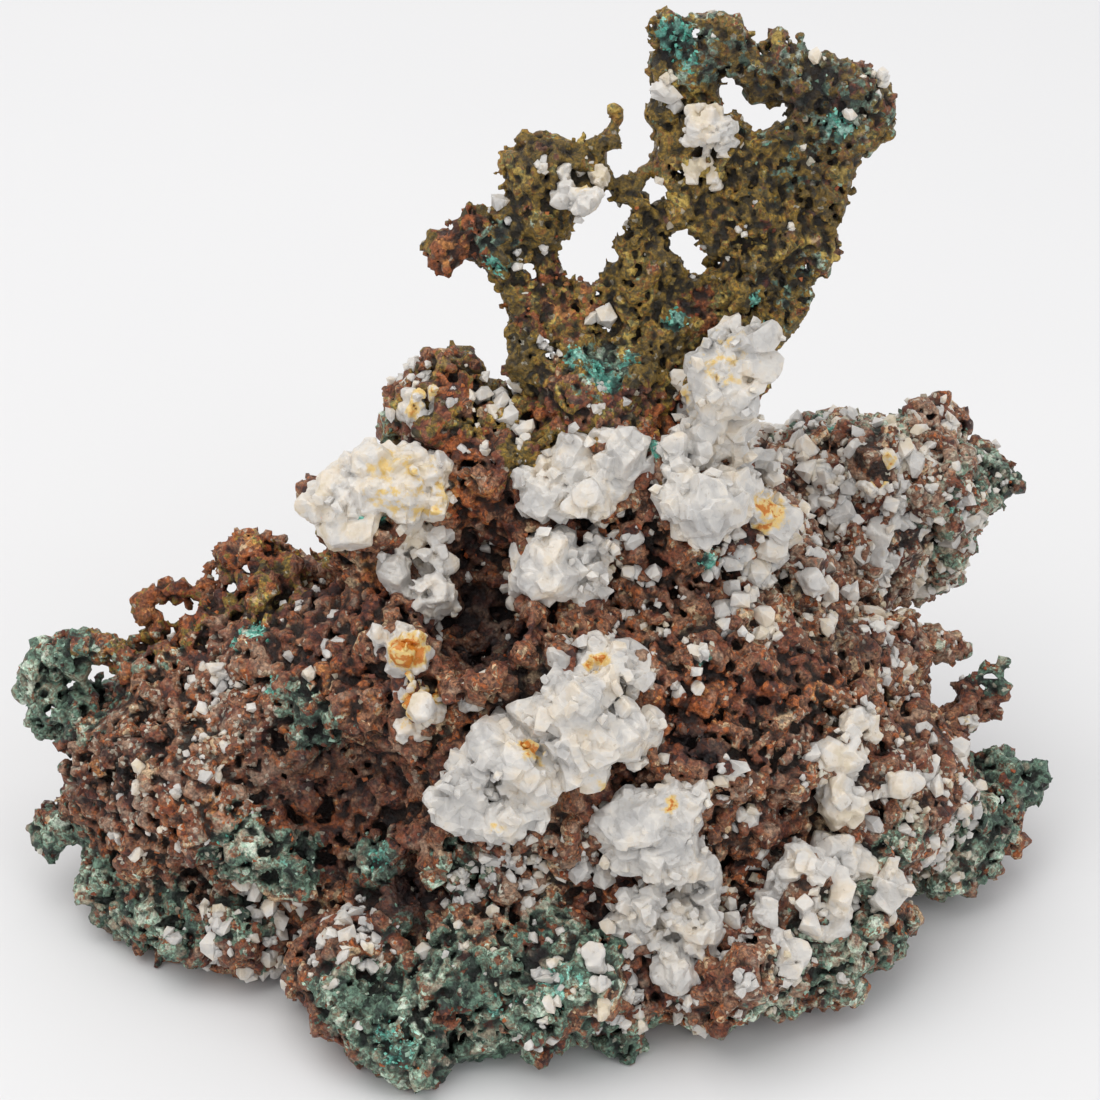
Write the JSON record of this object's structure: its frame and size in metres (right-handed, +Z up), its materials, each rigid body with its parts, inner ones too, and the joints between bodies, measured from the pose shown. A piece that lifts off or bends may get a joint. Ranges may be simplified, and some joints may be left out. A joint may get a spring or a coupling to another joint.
{
  "type": "native copper nugget",
  "caption": "Ragged native copper nugget with an upright pierced sheet, a thick side arm and clusters of blocky white crystals seated in the metal.",
  "frame": {"origin": "middle of the bounding box's underside, on the surface the nugget rests on", "axes": "+X along the nugget's length, -Y towards its front, +Z up"},
  "size_m": [0.1264, 0.0816, 0.1077],
  "materials": {
    "copper_body": "matte, porous, reddish-brown oxide with green malachite at the foot",
    "copper_sheet": "matte, porous, olive-ochre patina with turquoise patches",
    "copper_arm": "matte, dark brown and grey-green patina",
    "white_crystal": "milky, glassy facets with ochre stains"
  },
  "bodies": {
    "root": {"copper_arm": "copper_arm", "copper_body": "copper_body", "copper_sheet": "copper_sheet", "crystals_amber_lower": "white_crystal", "crystals_amber_upper": "white_crystal", "crystals_arm_crest": "white_crystal", "crystals_arm_end": "white_crystal", "crystals_arm_side": "white_crystal", "crystals_centre": "white_crystal", "crystals_cream_slab": "white_crystal", "crystals_front": "white_crystal", "crystals_knob": "white_crystal", "crystals_left_drop": "white_crystal", "crystals_peach": "white_crystal", "crystals_right_edge": "white_crystal", "crystals_right_low": "white_crystal", "crystals_right_tall": "white_crystal", "crystals_run": "white_crystal", "crystals_saddle": "white_crystal", "crystals_sheet_lobe": "white_crystal", "crystals_sheet_top": "white_crystal", "crystals_summit": "white_crystal"}
  },
  "joints": []
}
